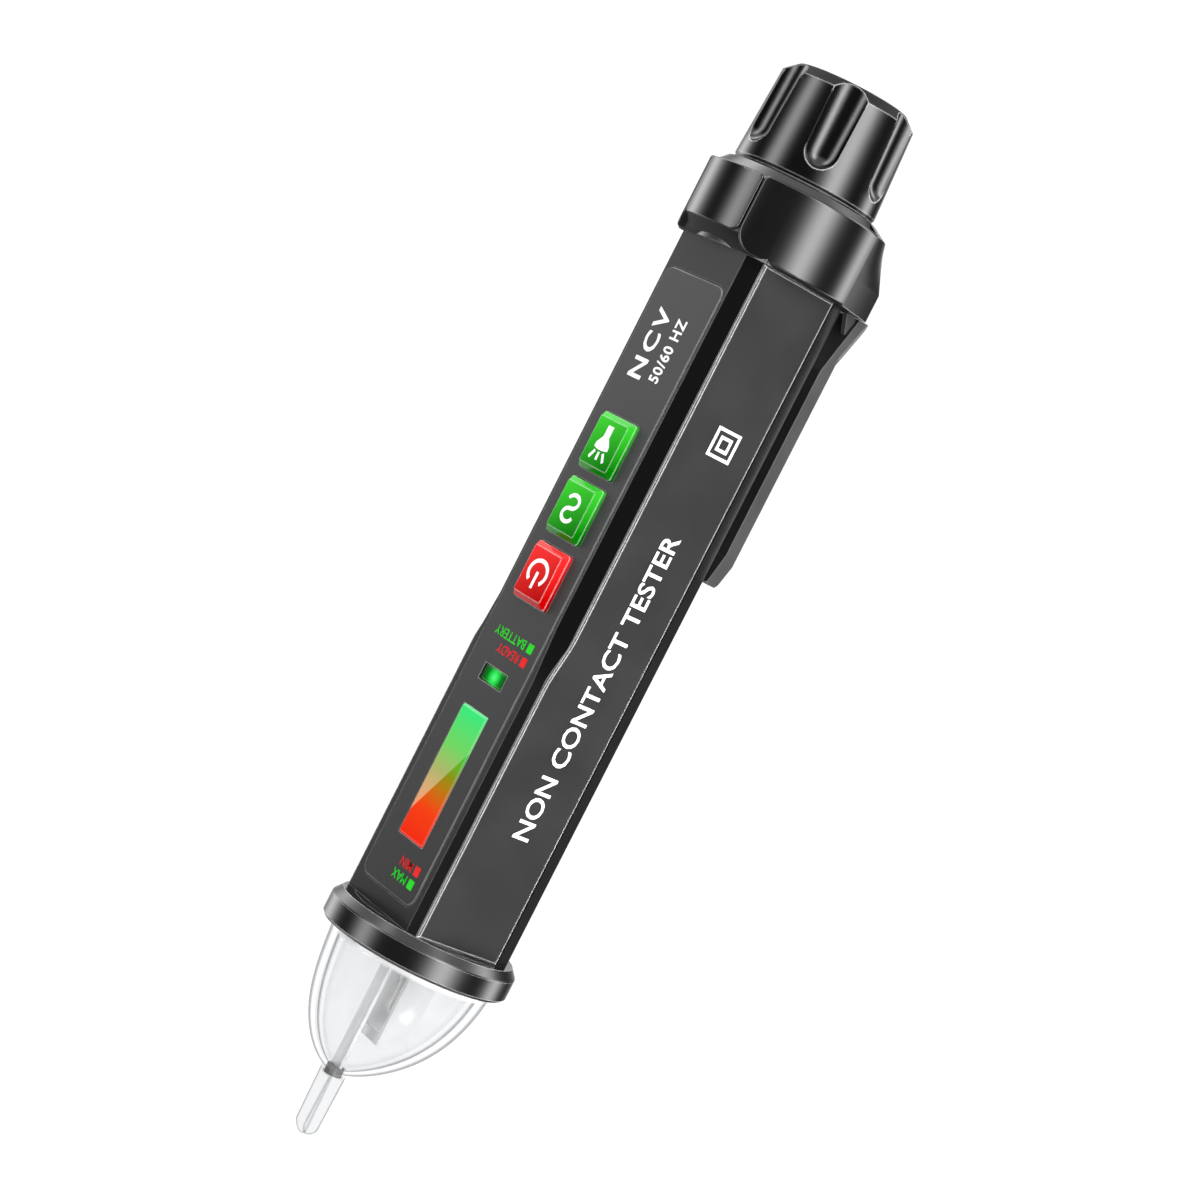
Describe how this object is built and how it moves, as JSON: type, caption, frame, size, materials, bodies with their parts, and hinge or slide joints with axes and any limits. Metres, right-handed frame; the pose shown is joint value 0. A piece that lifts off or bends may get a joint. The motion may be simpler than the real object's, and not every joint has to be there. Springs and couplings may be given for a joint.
{
  "type": "non contact voltage tester",
  "caption": "Pen-shaped voltage tester: octagonal body, push buttons, level window, clear nose with blade tip, pocket clip and screw-off tail knob.",
  "frame": {"origin": "centre of the flat end of the tail knob, on the pen's axis", "axes": "+Z along the pen from tail to tip; -Y is the button side; the pocket clip is on +Y; -X is the left side seen from the buttons"},
  "size_m": [0.0272, 0.029, 0.156],
  "materials": {
    "shell_plastic": "satin moulded",
    "side_plate_plastic": "fine satin grain",
    "label_film": "smooth satin film",
    "gloss_black": "polished",
    "collar_black": "polished",
    "ring_black": "satin",
    "clip_black": "satin moulded",
    "clear_plastic": "clear moulded",
    "green_button": "polished",
    "red_button": "polished",
    "green_window": "polished",
    "level_window": "polished",
    "milky_plastic": "translucent",
    "white_plastic": "satin",
    "board_green": "solder mask",
    "chip_black": "moulded",
    "component_ceramic": "matt",
    "led_white": "polished",
    "plunger_plastic": "moulded",
    "steel": "nickel plated",
    "brass": "plated",
    "sleeve_plastic": "moulded",
    "cell_jacket": "shrink film over steel",
    "seal_rubber": "moulded",
    "plug_rubber": "moulded"
  },
  "bodies": {
    "housing": {"front_shell": "shell_plastic", "rear_shell": "shell_plastic", "left_side_plate": "side_plate_plastic", "right_side_plate": "side_plate_plastic", "label_panel": "label_film", "status_window": "green_window", "level_window": "level_window", "level_light_guide": "milky_plastic", "level_leds": "led_white", "status_led": "led_white", "circuit_board": "board_green", "main_chip": "chip_black", "board_components": "component_ceramic", "switch_bodies": "steel", "buzzer": "chip_black", "antenna": "steel", "sensor_plug": "plug_rubber", "led_holder": "white_plastic", "torch_led": "led_white", "nose_lens": "clear_plastic", "nose_seal": "seal_rubber", "front_ring": "ring_black", "battery_sleeve": "sleeve_plastic", "rear_battery": "cell_jacket", "front_battery": "cell_jacket", "front_contact": "steel", "negative_strip": "brass", "collar": "collar_black"},
    "torch_button": {"torch_button": "green_button", "torch_plunger": "plunger_plastic"},
    "mode_button": {"mode_button": "green_button", "mode_plunger": "plunger_plastic"},
    "power_button": {"power_button": "red_button", "power_plunger": "plunger_plastic"},
    "pocket_clip": {"pocket_clip": "clip_black"},
    "tail_contact": {"tail_contact": "steel", "tail_spring": "steel"},
    "tail_knob": {"tail_knob": "gloss_black", "knob_seal": "seal_rubber"}
  },
  "joints": [
    {"name": "torch_press", "type": "slide", "parent": "housing", "child": "torch_button", "axis": [0, 1, 0], "range_m": [0, 0.0004], "stiffness_N_per_m": 1500, "springref_m": -0.0004},
    {"name": "mode_press", "type": "slide", "parent": "housing", "child": "mode_button", "axis": [0, 1, 0], "range_m": [0, 0.0004], "stiffness_N_per_m": 1500, "springref_m": -0.0004},
    {"name": "power_press", "type": "slide", "parent": "housing", "child": "power_button", "axis": [0, 1, 0], "range_m": [0, 0.0004], "stiffness_N_per_m": 1500, "springref_m": -0.0004},
    {"name": "clip_flex", "type": "hinge", "parent": "housing", "child": "pocket_clip", "pos_m": [0, 0.015, 0.0261], "axis": [-1, 0, 0], "range_deg": [0, 4], "stiffness_Nm_per_rad": 1.5, "springref_deg": -0.57},
    {"name": "knob_travel", "type": "slide", "parent": "housing", "child": "tail_contact", "axis": [0, 0, -1], "range_m": [0, 0.006]},
    {"name": "knob_turn", "type": "hinge", "parent": "tail_contact", "child": "tail_knob", "pos_m": [0, 0, 0], "axis": [0, 0, -1], "range_deg": [0, 1080]}
  ],
  "couplings": [
    {"joint": "knob_travel", "follows": "knob_turn", "m_per_rad": 0.00031831}
  ]
}
